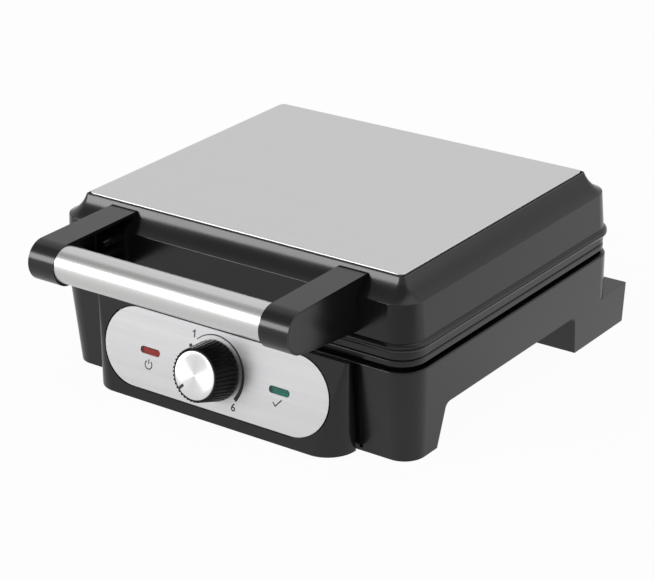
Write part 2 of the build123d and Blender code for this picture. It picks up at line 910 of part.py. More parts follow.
cover_low = high_rim + bead_band + cover_reveal
shoulder_x = lid_half - lid_draft
rim_top = lid_top - plate_proud
cove_x = shoulder_x - shoulder_reach
cove_z = rim_top - cove_drop
shoulder_z = cove_z - shoulder_drop
cove_out = sin(radians(cove_slope)), cos(radians(cove_slope))
rim_outer = cove_x - cove_reach
rim_inner = rim_outer - rim_width
ledge_top = lid_top - pan_height - seat
ledge_low = ledge_top - ledge_thickness
post_low = frame_back_high + seat
rib_low = high_rim + bead_band + seat
inner_low = cover_low + lip_rise + lip_inset
inner_high = shoulder_z - lid_skin
with BuildPart() as lid_cover:
    with BuildSketch(station_plane) as section:
        with BuildLine():
            TangentArc(
                (frame_half + bead_bulge, cover_low),
                (lid_half, cover_low + lip_rise),
                tangent=(0, 1),
            )
            wall_line = Line((lid_half, cover_low + lip_rise), (shoulder_x, shoulder_z))
            TangentArc((shoulder_x, shoulder_z), (cove_x, cove_z), tangent=wall_line % 1)
            TangentArc(
                (cove_x, cove_z), (rim_outer, rim_top), tangent=(-cove_out[1], cove_out[0])
            )
            Polyline(
                (rim_outer, rim_top),
                (rim_inner, rim_top),
                (rim_inner, ledge_low),
                (shoulder_x - lid_skin, inner_high),
                (lid_half - lid_skin, inner_low),
                (lid_half - lid_skin - lip_inset, cover_low + lip_rise),
                (lid_half - lid_skin - lip_inset, cover_low - cover_reveal + seat),
                (lid_half - lip_inset, cover_low - cover_reveal + seat),
                (lid_half - lip_inset, cover_low),
                (frame_half + bead_bulge, cover_low),
            )
        make_face()
    add(ring(section.sketch, rim_outer))
    extrude(
        hollow_outline(rim_inner + rim_width, rim_inner - ledge_width, ledge_low),
        amount=ledge_thickness,
    )
    with BuildSketch(Plane.XY.offset(post_low)):
        with Locations(*post_places):
            Circle(post_radius)
    extrude(amount=shoulder_z - post_low)
    with BuildSketch(Plane.XY.offset(rib_low)):
        for side in (-1, 1):
            for row in (-1, 0, 1):
                rib_reach = lid_half - lid_skin - post_station
                with Locations(
                    (side * (post_station + rib_reach / 2), mid_y + row * post_pitch_y)
                ):
                    Rectangle(rib_reach, rib_thickness)
    extrude(amount=shoulder_z - rib_low)
    with BuildSketch(Plane.XY.offset(shoulder_z - seat)):
        with Locations(*post_places):
            Circle(post_radius)
    extrude(amount=cove_z + lid_skin - shoulder_z)
    with BuildSketch(Plane.XY.offset(post_low)):
        with Locations(*post_places):
            Circle(screw_radius + screw_clearance)
    extrude(amount=post_screw, mode=Mode.SUBTRACT)
    # Holes for the screws of the handle arms
    with BuildSketch(Plane.XZ.offset(-front_y)):
        for z in arm_screw_z:
            for side in (-1, 1):
                with Locations((side * (arm_inner_x + arm_width / 2), z)):
                    Circle(screw_radius + screw_clearance)
    extrude(amount=base_corner, both=True, mode=Mode.SUBTRACT)
lid_cover.part.label = "lid_cover"
export_step(lid_cover.part, "parts/lid_cover.step")

# Steel plate on the top of the lid, a shallow pan pressed from sheet

with BuildPart() as lid_top_plate:
    extrude(frame_outline(rim_inner - plate_gap, ledge_top + seat), amount=pan_height)
    fillet(lid_top_plate.edges().group_by(Axis.Z)[-1], top_plate_edge)
    extrude(
        frame_outline(rim_inner - plate_gap - top_plate_thickness, ledge_top + seat),
        amount=pan_height - top_plate_thickness,
        mode=Mode.SUBTRACT,
    )
lid_top_plate.part.label = "lid_top_plate"
export_step(lid_top_plate.part, "parts/lid_top_plate.step")

# Handle arms: side outline, its rear edge following the lid with a small gap

lid_front = mid_y + lid_slim
arm_front = front_y - handle_reach
nose_y = arm_front + arm_nose
nose_z = arm_top - arm_nose
tube_y = arm_front + tube_back
with BuildSketch() as lid_profile:
    with BuildLine():
        near_wall = Line(
            (lid_front - lid_half - arm_gap, cover_low + lip_rise),
            (lid_front - shoulder_x - arm_gap, shoulder_z + arm_gap),
        )
        TangentArc(
            (lid_front - shoulder_x - arm_gap, shoulder_z + arm_gap),
            (lid_front - cove_x - arm_gap, cove_z + arm_gap),
            tangent=near_wall % 1,
        )
        TangentArc(
            (lid_front - cove_x - arm_gap, cove_z + arm_gap),
            (lid_front - rim_outer - arm_gap, rim_top + arm_gap),
            tangent=(cove_out[1], cove_out[0]),
        )
        Polyline(
            (lid_front - rim_outer - arm_gap, rim_top + arm_gap),
            (mid_y, rim_top + arm_gap),
            (mid_y, cover_low - wall),
            (lid_front - lid_half - arm_gap, cover_low - wall),
            (lid_front - lid_half - arm_gap, cover_low + lip_rise),
        )
    make_face()
with BuildSketch() as arm_outline:
    with BuildLine():
        ThreePointArc(
            (nose_y, arm_top), (arm_front, nose_z), (nose_y, nose_z - arm_nose)
        )
        Polyline(
            (nose_y, nose_z - arm_nose),
            (arm_front + arm_knee_back, arm_knee_z),
            (front_y, arm_root_low),
            (lid_front - plate_half, arm_root_low),
            (lid_front - plate_half, arm_top),
            (nose_y, arm_top),
        )
    make_face()
    add(lid_profile.sketch, mode=Mode.SUBTRACT)
with BuildSketch() as arm_hollow:
    add(arm_outline.sketch)
    offset(amount=-arm_wall, kind=Kind.INTERSECTION, mode=Mode.REPLACE)
    with Locations((nose_y, nose_z)):
        Circle(arm_nose + arm_ridge, mode=Mode.SUBTRACT)
with BuildSketch() as arm_panel:
    add(arm_outline.sketch)
    offset(amount=-arm_cover_rim, kind=Kind.INTERSECTION, mode=Mode.REPLACE)
with BuildSketch() as arm_cover_outline:
    add(arm_outline.sketch)
    offset(
        amount=-arm_cover_rim - arm_cover_fit, kind=Kind.INTERSECTION, mode=Mode.REPLACE
    )

arm_outer_x = arm_inner_x + arm_width
arm_mid_x = arm_inner_x + arm_width / 2
cover_x = arm_outer_x - arm_cover_thickness
for part_side, side in (("left", -1), ("right", 1)):
    with BuildPart() as handle_arm:
        with BuildSketch(Plane.YZ.offset(side * arm_inner_x)):
            add(arm_outline.sketch)
        extrude(amount=side * arm_width)
        # Open channel on the inner side, stiffened by ribs
        with BuildSketch(Plane.YZ.offset(side * arm_inner_x)):
            add(arm_hollow.sketch)
        extrude(amount=side * (arm_width - arm_cover_thickness - arm_wall), mode=Mode.SUBTRACT)
        for back in arm_rib_back:
            with BuildSketch(Plane.YZ.offset(side * arm_mid_x)):
                add(arm_outline.sketch)
                with Locations((arm_front + back, arm_top)):
                    Rectangle(rib_thickness, 2 * arm_top, mode=Mode.INTERSECT)
            extrude(amount=side * (arm_width / 2 - arm_cover_thickness))
        # Bosses for the screws that come through the lid's front wall
        with BuildSketch(Plane.XZ.offset(-front_y)):
            with Locations(*[(side * arm_mid_x, z) for z in arm_screw_z]):
                Circle(arm_boss_radius)
        extrude(amount=arm_boss_length)
        with BuildSketch(Plane.YZ.offset(side * arm_inner_x)):
            add(lid_profile.sketch)
        extrude(amount=side * arm_width, mode=Mode.SUBTRACT)
        with BuildSketch(Plane.XZ.offset(-front_y)):
            with Locations(*[(side * arm_mid_x, z) for z in arm_screw_z]):
                Circle(screw_radius + screw_clearance)
        extrude(amount=arm_boss_length + wall, both=True, mode=Mode.SUBTRACT)
        # Shallow seat for the outer cover, and the spigot that carries the tube
        with BuildSketch(Plane.YZ.offset(side * arm_outer_x)):
            add(arm_panel.sketch)
        extrude(amount=-side * arm_cover_thickness, mode=Mode.SUBTRACT)
        with BuildSketch(Plane.YZ.offset(side * arm_inner_x)):
            with Locations((tube_y, tube_z)):
                Circle(tube_radius - tube_wall - tube_fit)
        extrude(amount=-side * spigot_length)
        with BuildSketch(Plane.YZ.offset(side * (arm_inner_x - spigot_length))):
            with Locations((tube_y, tube_z)):
                Circle(tube_radius - tube_wall - tube_fit - spigot_wall)
        extrude(
            amount=side * (spigot_length + arm_width - arm_cover_thickness - arm_wall),
            mode=Mode.SUBTRACT,
        )
    handle_arm.part.label = f"handle_arm_{part_side}"
    export_step(handle_arm.part, f"parts/handle_arm_{part_side}.step")
    with BuildPart() as arm_cover:
        with BuildSketch(Plane.YZ.offset(side * (cover_x + seat))):
            add(arm_cover_outline.sketch)
        extrude(amount=side * (arm_cover_thickness - seat))
    arm_cover.part.label = f"arm_cover_{part_side}"
    export_step(arm_cover.part, f"parts/arm_cover_{part_side}.step")

# Steel tube between the arms

with BuildPart() as handle_tube:
    with BuildSketch(Plane.YZ):
        with Locations((tube_y, tube_z)):
            Circle(tube_radius)
            Circle(tube_radius - tube_wall, mode=Mode.SUBTRACT)
    extrude(amount=arm_inner_x - seat, both=True)
handle_tube.part.label = "handle_tube"
export_step(handle_tube.part, "parts/handle_tube.step")

# Screws through the lid's front wall into the arms

with BuildPart() as arm_screws:
    for side in (-1, 1):
        for z in arm_screw_z:
            rise = z + head_radius - inner_low
            lean = lid_draft * rise / (inner_high - inner_low)
            inside = lid_front - lid_half + lean + lid_skin + seat
            add(
                screw(
                    Plane((side * arm_mid_x, inside, z), z_dir=(0, 1, 0)),
                    arm_screw,
                    screw_radius,
                    head_radius,
                    head_height,
                )
            )
arm_screws.part.label = "arm_screws"
export_step(arm_screws.part, "parts/arm_screws.step")

# Hinge pins, headed at both ends so that they stay in the ears

pin_reach = knuckle_width / 2 + knuckle_gap + ear_width + pin_end_gap
with BuildPart() as hinge_pins:
    for side in (-1, 1):
        with BuildSketch(Plane.YZ.offset(side * hinge_x - pin_reach)):
            with Locations((hinge_y, hinge_z)):
                Circle(pin_radius)
        extrude(amount=2 * pin_reach)
        for end in (-1, 1):
            with BuildSketch(Plane.YZ.offset(side * hinge_x + end * pin_reach)):
                with Locations((hinge_y, hinge_z)):
                    Circle(pin_head_radius)
            extrude(amount=end * pin_head)
hinge_pins.part.label = "hinge_pins"
export_step(hinge_pins.part, "parts/hinge_pins.step")

# Console shell: a hollow box with a tilted face, its neck standing on the front wall

with BuildPart() as console_shell:
    loft(
        [console_section(z, 0, 0, neck_gap) for z in (console_low, console_high)],
        ruled=True,
    )
    loft(
        [
            console_section(z, neck_inset, console_skin, seat)
            for z in (console_low + neck_inset, console_high - neck_inset)
        ],
        ruled=True,
    )
    loft(
        [
            console_section(z, neck_inset + console_skin, console_skin, -wall)
            for z in (console_low + 2 * console_skin, console_high - 2 * console_skin)
        ],
        ruled=True,
        mode=Mode.SUBTRACT,
    )
    # Bosses for the screws from inside the base
    for z in console_boss_z:
        boss_y_end = front_wall_y(z + console_boss_radius) - seat
        with BuildSketch(Plane.XZ.offset(-boss_y_end)):
            with Locations((-console_boss_x, z), (console_boss_x, z)):
                Circle(console_boss_radius)
        extrude(amount=boss_y_end - console_face(z) - console_skin / 2)
        with BuildSketch(Plane.XZ.offset(-front_wall_y(z))):
            with Locations((-console_boss_x, z), (console_boss_x, z)):
                Circle(screw_radius + screw_clearance)
        extrude(amount=console_screw - wall, mode=Mode.SUBTRACT)
    # Seat of the control plate, with a groove round it
    with BuildSketch(panel):
        SlotOverall(panel_length + 2 * panel_groove, panel_height + 2 * panel_groove)
    extrude(amount=-panel_sheet - seat, mode=Mode.SUBTRACT)
    with BuildSketch(panel):
        SlotOverall(panel_length + 2 * panel_groove, panel_height + 2 * panel_groove)
        SlotOverall(panel_length, panel_height, mode=Mode.SUBTRACT)
    extrude(amount=-groove_depth, mode=Mode.SUBTRACT)
    # Windows for the lamps and the hole for the thermostat's bush
    with BuildSketch(panel):
        with Locations(*lens_places):
            RectangleRounded(
                lens_length + 2 * lens_fit, lens_height + 2 * lens_fit, lens_corner
            )
        Circle(bush_radius + bush_fit)
    extrude(amount=-wall - console_skin, mode=Mode.SUBTRACT)
console_shell.part.label = "console_shell"
export_step(console_shell.part, "parts/console_shell.step")

# Control plate: brushed sheet with round ends

with BuildPart() as control_plate:
    with BuildSketch(panel):
        SlotOverall(panel_length, panel_height)
        with Locations(*lens_places):
            RectangleRounded(
                lens_length + 2 * lens_fit,
                lens_height + 2 * lens_fit,
                lens_corner,
                mode=Mode.SUBTRACT,
            )
        Circle(bush_radius + bush_fit, mode=Mode.SUBTRACT)
    extrude(amount=-panel_sheet)
control_plate.part.label = "control_plate"
export_step(control_plate.part, "parts/control_plate.step")

# Lamp lenses, pushed through the windows from inside until their flanges stop them

panel_axis = Axis(panel.origin, panel.z_dir)
lens_back = console_inside.offset(-seat)
skin_depth = console_skin * cos(radians(console_tilt))
for part_name, place in zip(("power_lens", "ready_lens"), lens_places):
    with BuildPart() as lens:
        with BuildSketch(lens_back):
            with Locations(place):
                RectangleRounded(lens_length, lens_height, lens_corner)
        extrude(amount=skin_depth + seat + lens_proud)
        chamfer(lens.faces().sort_by(panel_axis)[-1].edges(), lens_proud / 2)
        with BuildSketch(lens_back):
            with Locations(place):
                RectangleRounded(
                    lens_length + 2 * lens_flange, lens_height + 2 * lens_flange, lens_corner
                )
        extrude(amount=-lens_flange_thickness)
    lens.part.label = part_name
    export_step(lens.part, f"parts/{part_name}.step")

# Lamp holders behind the lenses, each a socket round a small lamp

holder_face = lens_back.offset(-lens_flange_thickness - seat)
with BuildPart() as lamp_holders:
    with BuildSketch(holder_face):
        with Locations(*lens_places):
            Rectangle(lens_length + 2 * lens_flange, lens_height + 2 * lens_flange)
    extrude(amount=-holder_depth)
    with BuildSketch(holder_face):
        with Locations(*lens_places):
            Rectangle(lamp_length + 2 * seat, lens_height + 2 * seat)
    extrude(amount=-holder_depth + rib_thickness, mode=Mode.SUBTRACT)
lamp_holders.part.label = "lamp_holders"
export_step(lamp_holders.part, "parts/lamp_holders.step")

lamp_plane = holder_face.offset(-holder_depth + rib_thickness + lamp_radius + seat)
with BuildPart() as neon_lamps:
    for lens_u, lens_at in lens_places:
        start = lamp_plane.from_local_coords((lens_u - lamp_length / 2, lens_at, 0))
        with BuildSketch(Plane(origin=start, z_dir=(1, 0, 0))):
            Circle(lamp_radius)
        extrude(amount=lamp_length)
neon_lamps.part.label = "neon_lamps"
export_step(neon_lamps.part, "parts/neon_lamps.step")

# Thermostat behind the console's face; its bush comes through and takes a flat nut

with BuildPart() as thermostat:
    with BuildSketch(lens_back):
        RectangleRounded(thermostat_width, thermostat_height, rib_thickness)
    extrude(amount=-thermostat_depth)
    with BuildSketch(lens_back):
        Circle(bush_radius)
    extrude(amount=skin_depth + seat + bush_proud)
    with BuildSketch(panel.offset(bush_proud)):
        Circle(shaft_radius + shaft_fit)
    extrude(amount=-bush_proud - shaft_sunk - screw_clearance, mode=Mode.SUBTRACT)
thermostat.part.label = "thermostat"
export_step(thermostat.part, "parts/thermostat.step")

with BuildPart() as thermostat_nut:
    with BuildSketch(panel.offset(seat)):
        RegularPolygon(nut_across / 2, 6, major_radius=False)
        Circle(bush_radius + bush_fit, mode=Mode.SUBTRACT)
    extrude(amount=nut_height)
thermostat_nut.part.label = "thermostat_nut"
export_step(thermostat_nut.part, "parts/thermostat_nut.step")

# Screws from inside the base into the console

with BuildPart() as console_screws:
    for z in console_boss_z:
        inside = max(front_wall_y(z) + wall, console_back_y) + seat
        for side in (-1, 1):
            add(
                screw(
                    Plane((side * console_boss_x, inside, z), z_dir=(0, 1, 0)),
                    console_screw,
                    screw_radius,
                    head_radius,
                    head_height,
                )
            )
console_screws.part.label = "console_screws"
export_step(console_screws.part, "parts/console_screws.step")

# Shaft of the thermostat, turning with the knob

with BuildPart() as thermostat_shaft:
    with BuildSketch(panel.offset(-shaft_sunk)):
        Circle(shaft_radius)
    extrude(amount=shaft_sunk + shaft_top)
thermostat_shaft.part.label = "thermostat_shaft"
export_step(thermostat_shaft.part, "parts/thermostat_shaft.step")


def fluted(radius, height):
    """The knob's outline at a height above the panel, with small flutes all round."""
    with BuildSketch(panel.offset(height)) as outline:
        Circle(radius)
        with PolarLocations(radius, knob_flutes):
            Circle(flute_radius, mode=Mode.SUBTRACT)
    return outline.sketch


# Knob: a fluted cone, recessed below for the nut and above for its cap

with BuildPart() as knob:
    loft(
        [
            fluted(knob_base_radius, knob_lift),
            fluted(knob_rim_radius, knob_lift + knob_height),
        ],
        ruled=True,
    )
    with BuildSketch(panel.offset(knob_lift + knob_height)):
        Circle(cap_radius + cap_fit)
    extrude(amount=-cap_sink, mode=Mode.SUBTRACT)
    with BuildSketch(panel.offset(knob_lift)):
        Circle(knob_recess)
    extrude(amount=knob_recess_depth, mode=Mode.SUBTRACT)
    with BuildSketch(panel.offset(knob_lift)):
        Circle(shaft_radius + shaft_fit)
    extrude(amount=shaft_top - knob_lift + seat, mode=Mode.SUBTRACT)
knob.part.label = "knob"
export_step(knob.part, "parts/knob.step")

with BuildPart() as knob_cap:
    with BuildSketch(panel.offset(knob_lift + knob_height - cap_sink + seat)):
        Circle(cap_radius)
    extrude(amount=cap_thickness)
    chamfer(knob_cap.faces().sort_by(panel_axis)[-1].edges(), cap_fit)
knob_cap.part.label = "knob_cap"
export_step(knob_cap.part, "parts/knob_cap.step")

# Rubber pads, each with a stem pushed into the leg

with BuildPart() as rubber_feet:
    with BuildSketch():
        with Locations(*pad_places):
            Circle(pad_radius)
    extrude(amount=leg_lift + pad_sink - seat)
    with BuildSketch():
        with Locations(*pad_places):
            Circle(pad_stem)
    extrude(amount=leg_lift + leg_web + seat)
rubber_feet.part.label = "rubber_feet"
export_step(rubber_feet.part, "parts/rubber_feet.step")

# Cord gland: a flanged ring in the rear wall

with BuildPart() as cord_gland:
    with BuildSketch(gland_plane.offset(seat)):
        Circle(gland_flange)
    extrude(amount=gland_lip)
    with BuildSketch(gland_plane.offset(-wall - seat)):
        Circle(gland_flange)
    extrude(amount=-gland_lip)
    with BuildSketch(gland_plane.offset(-wall - gland_lip)):
        Circle(gland_neck)
    extrude(amount=wall + 2 * gland_lip)
    with BuildSketch(gland_plane.offset(-wall - 2 * gland_lip)):
        Circle(gland_bore)
    extrude(amount=wall + 4 * gland_lip, mode=Mode.SUBTRACT)
cord_gland.part.label = "cord_gland"
export_step(cord_gland.part, "parts/cord_gland.step")

# Terminal block on the floor of the tub

with BuildPart() as terminal_block:
    with BuildSketch(Plane.XY.offset(floor_top + seat)):
        with Locations((terminal_x, rear_y - terminal_back)):
            Rectangle(terminal_width, terminal_depth)
            with GridLocations(terminal_width / terminal_ways, 1, terminal_ways, 1):
                Circle(terminal_hole, mode=Mode.SUBTRACT)
    extrude(amount=terminal_height)
terminal_block.part.label = "terminal_block"
export_step(terminal_block.part, "parts/terminal_block.step")
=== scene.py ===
import json
import math

import bpy
import numpy as np
from mathutils import Matrix, Vector


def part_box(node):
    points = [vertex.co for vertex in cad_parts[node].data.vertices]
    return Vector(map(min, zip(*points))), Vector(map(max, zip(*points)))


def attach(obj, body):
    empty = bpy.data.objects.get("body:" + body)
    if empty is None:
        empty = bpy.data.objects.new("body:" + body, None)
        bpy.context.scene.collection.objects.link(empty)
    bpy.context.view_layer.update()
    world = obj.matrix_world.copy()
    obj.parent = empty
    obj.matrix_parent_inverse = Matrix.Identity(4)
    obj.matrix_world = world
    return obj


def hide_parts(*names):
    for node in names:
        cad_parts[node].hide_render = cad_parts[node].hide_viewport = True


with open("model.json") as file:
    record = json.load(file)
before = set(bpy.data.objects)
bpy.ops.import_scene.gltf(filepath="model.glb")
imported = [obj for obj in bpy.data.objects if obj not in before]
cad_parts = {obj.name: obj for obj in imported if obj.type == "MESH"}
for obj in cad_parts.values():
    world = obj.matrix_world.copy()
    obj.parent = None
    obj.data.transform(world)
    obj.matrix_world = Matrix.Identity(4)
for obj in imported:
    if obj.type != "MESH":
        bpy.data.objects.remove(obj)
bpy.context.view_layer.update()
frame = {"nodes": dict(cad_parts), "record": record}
nodes = frame["nodes"]

MM = 0.001

# The tilted control plate's own directions: its middle is on the knob's axis
knob_turn = next(
    joint for joint in frame["record"]["behaviour"]["joints"] if joint["name"] == "knob_turn"
)
PANEL_MIDDLE = Vector(knob_turn["pos_m"])
PANEL_OUT = -Vector(knob_turn["axis"]).normalized()
PANEL_ACROSS = Vector((1.0, 0.0, 0.0))
PANEL_UP = PANEL_OUT.cross(PANEL_ACROSS)
PANEL_TILT = math.asin(PANEL_OUT.z)

# How far print stands off the surface that it is on
PRINT_RISE = 0.04 * MM

# Camera at the photograph's angle, its distances in metres and its lens in millimetres
VIEW_TURN = math.radians(37.01)
VIEW_HEIGHT = math.radians(23.73)
VIEW_ROLL = math.radians(-1.42)
VIEW_DISTANCE = 1.6168
VIEW_SLIDE = (-9.4 * MM, 36.3 * MM)
VIEW_AIM = Vector((0.0, 23.5 * MM, 3.0 * MM))
LENS_LENGTH = 127.4
SENSOR_WIDTH = 36.0


def set_up_camera():
    """Camera on a sphere round the waffle maker, slid sideways and up to frame it."""
    back = Vector(
        (
            math.sin(VIEW_TURN) * math.cos(VIEW_HEIGHT),
            -math.cos(VIEW_TURN) * math.cos(VIEW_HEIGHT),
            math.sin(VIEW_HEIGHT),
        )
    )
    level = Vector((math.cos(VIEW_TURN), math.sin(VIEW_TURN), 0.0))
    rise = back.cross(level)
    right = level * math.cos(VIEW_ROLL) + rise * math.sin(VIEW_ROLL)
    up = rise * math.cos(VIEW_ROLL) - level * math.sin(VIEW_ROLL)
    place = right * VIEW_SLIDE[0] + up * VIEW_SLIDE[1] + back * VIEW_DISTANCE + VIEW_AIM
    data = bpy.data.cameras.new("photo_camera")
    data.lens = LENS_LENGTH
    data.sensor_width = SENSOR_WIDTH
    data.sensor_fit = "HORIZONTAL"
    data.clip_start = 0.01
    data.clip_end = 100.0
    camera = bpy.data.objects.new("photo_camera", data)
    turned = Matrix((right, up, back)).transposed().to_4x4()
    camera.matrix_world = Matrix.Translation(place) @ turned
    bpy.context.scene.collection.objects.link(camera)
    bpy.context.scene.camera = camera


set_up_camera()


# Shader building helpers


def add_node(tree, kind, inputs=None, **settings):
    """Adds a shader node, sets its properties, then its inputs by name or number."""
    node = tree.nodes.new(kind)
    for name, value in settings.items():
        setattr(node, name, value)
    for name, value in (inputs or {}).items():
        if isinstance(value, bpy.types.NodeSocket):
            tree.links.new(value, node.inputs[name])
        else:
            node.inputs[name].default_value = value
    return node


def calculate(tree, operation, *values):
    """One math node; values are numbers or sockets."""
    inputs = dict(enumerate(values))
    return add_node(tree, "ShaderNodeMath", inputs, operation=operation).outputs[0]


def remap(tree, value, low, high, start=0.0, end=1.0):
    """Takes start..end to low..high in a straight line, and holds both ends."""
    inputs = {"Value": value, "From Min": start, "From Max": end, "To Min": low, "To Max": high}
    return add_node(tree, "ShaderNodeMapRange", inputs).outputs["Result"]


def smooth_step(tree, value, start, end, low=0.0, high=1.0):
    """Takes start..end to low..high along a smooth curve, and holds both ends."""
    inputs = {"Value": value, "From Min": start, "From Max": end, "To Min": low, "To Max": high}
    node = add_node(tree, "ShaderNodeMapRange", inputs, interpolation_type="SMOOTHSTEP")
    return node.outputs["Result"]


def noise_at(tree, place, scale, detail):
    """A fine noise, 0 to 1, at a place."""
    inputs = {"Vector": place, "Scale": scale, "Detail": detail}
    return add_node(tree, "ShaderNodeTexNoise", inputs).outputs[0]


def object_place(tree, turn=(0.0, 0.0, 0.0)):
    """Object coordinates, turned."""
    coordinates = add_node(tree, "ShaderNodeTexCoord").outputs["Object"]
    inputs = {"Vector": coordinates, "Rotation": turn}
    return add_node(tree, "ShaderNodeMapping", inputs).outputs[0]


def new_group(name, inputs, outputs):
    """An empty node group with named sockets: inputs are (name, kind, value)."""
    group = bpy.data.node_groups.new(name, "ShaderNodeTree")
    for title, kind, value in inputs:
        socket = group.interface.new_socket(
            title, in_out="INPUT", socket_type="NodeSocket" + kind
        )
        if value is not None:
            socket.default_value = value
    for title, kind in outputs:
        group.interface.new_socket(
            title, in_out="OUTPUT", socket_type="NodeSocket" + kind
        )
    return group, group.nodes.new("NodeGroupInput"), group.nodes.new("NodeGroupOutput")


def use_group(tree, group, **inputs):
    """Places a node group in a tree; underscores in names stand for spaces."""
    node = add_node(tree, "ShaderNodeGroup", node_tree=group)
    for name, value in inputs.items():
        title = name.replace("_", " ")
        if isinstance(value, bpy.types.NodeSocket):
            tree.links.new(value, node.inputs[title])
        else:
            node.inputs[title].default_value = value
    return node


def brushed_group():
    """Fine scratches along x: noise stretched by Length along x and Width across it.

    Streaks are the same noise about nine times as wide.
    """
    group, entry, leave = new_group(
        "brushed_scratches",
        [("Place", "Vector", None), ("Length", "Float", 50 * MM), ("Width", "Float", 0.3 * MM)],
        [("Scratches", "Float"), ("Streaks", "Float")],
    )
    streak_scale = 0.11
    parts = add_node(group, "ShaderNodeSeparateXYZ", {0: entry.outputs["Place"]})
    along = calculate(group, "DIVIDE", parts.outputs[0], entry.outputs["Length"])
    across = calculate(group, "DIVIDE", parts.outputs[1], entry.outputs["Width"])
    upward = calculate(group, "DIVIDE", parts.outputs[2], entry.outputs["Width"])
    stretched = add_node(group, "ShaderNodeCombineXYZ", {0: along, 1: across, 2: upward})
    fine = add_node(
        group,
        "ShaderNodeTexNoise",
        {"Vector": stretched.outputs[0], "Scale": 1.0, "Detail": 3.0, "Roughness": 0.7},
    )
    wide = noise_at(group, stretched.outputs[0], streak_scale, 2.0)
    group.links.new(fine.outputs[0], leave.inputs["Scratches"])
    group.links.new(wide, leave.inputs["Streaks"])
    return group


def moulded_group():
    """Spark-eroded skin of moulded plastic: fine grains, and slow patches of sheen."""
    group, entry, leave = new_group(
        "moulded_skin",
        [("Place", "Vector", None), ("Grain", "Float", 0.6 * MM)],
        [("Grains", "Float"), ("Patches", "Float")],
    )
    patches_in_a_metre = 22.0
    grains_in_a_metre = calculate(group, "DIVIDE", 1.0, entry.outputs["Grain"])
    grains = noise_at(group, entry.outputs["Place"], grains_in_a_metre, 2.0)
    patches = noise_at(group, entry.outputs["Place"], patches_in_a_metre, 3.0)
    group.links.new(grains, leave.inputs["Grains"])
    group.links.new(patches, leave.inputs["Patches"])
    return group


BRUSHED = brushed_group()
MOULDED = moulded_group()


def new_material(name, **constants):
    """A material with one Principled shader; constants go on the shader's own sockets."""
    material = bpy.data.materials.new(name)
    material.use_nodes = True
    tree = material.node_tree
    tree.nodes.clear()
    shader = add_node(tree, "ShaderNodeBsdfPrincipled")
    output = add_node(tree, "ShaderNodeOutputMaterial")
    tree.links.new(shader.outputs[0], output.inputs["Surface"])
    for title, value in constants.items():
        shader.inputs[title.replace("_", " ")].default_value = value
    return material, tree, shader


def shade_between(tree, value, dark, light):
    """A colour between dark and light, by a 0..1 value."""
    mix = add_node(tree, "ShaderNodeMix", data_type="RGBA")
    tree.links.new(value, mix.inputs["Factor"])
    mix.inputs["A"].default_value = (*dark, 1.0)
    mix.inputs["B"].default_value = (*light, 1.0)
    return mix.outputs["Result"]


def bump_from(tree, height, distance):
    """A normal from a height that goes from 0 to 1 over distance."""
    inputs = {"Height": height, "Distance": distance, "Strength": 1.0}
    return add_node(tree, "ShaderNodeBump", inputs).outputs["Normal"]


def vary(tree, shader, value, dark, light, smooth, rough):
    """A 0..1 value takes the colour from dark to light and the roughness from smooth to rough."""
    tree.links.new(shade_between(tree, value, dark, light), shader.inputs["Base Color"])
    tree.links.new(remap(tree, value, smooth, rough), shader.inputs["Roughness"])


def moulded_plastic(name, dark, light, smooth, rough, grain, depth, ior=1.5):
    """Moulded plastic: nearly one colour, its sheen drifting, with a fine skin."""
    material, tree, shader = new_material(name, IOR=ior)
    skin = use_group(tree, MOULDED, Place=object_place(tree), Grain=grain)
    vary(tree, shader, skin.outputs["Patches"], dark, light, smooth, rough)
    normal = bump_from(tree, skin.outputs["Grains"], depth)
    tree.links.new(normal, shader.inputs["Normal"])
    return material


def brushed_metal(name, dark, light, smooth, rough, length, width, turn=(0.0, 0.0, 0.0)):
    """Brushed sheet: scratches vary its colour, roughness and height."""
    streak_share, scratch_share, scratch_depth = 0.55, 0.45, 0.004 * MM
    material, tree, shader = new_material(name, Metallic=1.0)
    place = object_place(tree, turn)
    lines = use_group(tree, BRUSHED, Place=place, Length=length, Width=width).outputs
    scratches = calculate(tree, "MULTIPLY", lines["Scratches"], scratch_share)
    blend = calculate(tree, "MULTIPLY_ADD", lines["Streaks"], streak_share, scratches)
    vary(tree, shader, blend, dark, light, smooth, rough)
    normal = bump_from(tree, lines["Scratches"], scratch_depth)
    tree.links.new(normal, shader.inputs["Normal"])
    return material


def plain_metal(name, dark, light, smooth, rough, scale=300.0):
    """Small metal parts: colour and roughness drift with a fine noise."""
    material, tree, shader = new_material(name, Metallic=1.0)
    noise = noise_at(tree, object_place(tree), scale, 4.0)
    vary(tree, shader, noise, dark, light, smooth, rough)
    return material


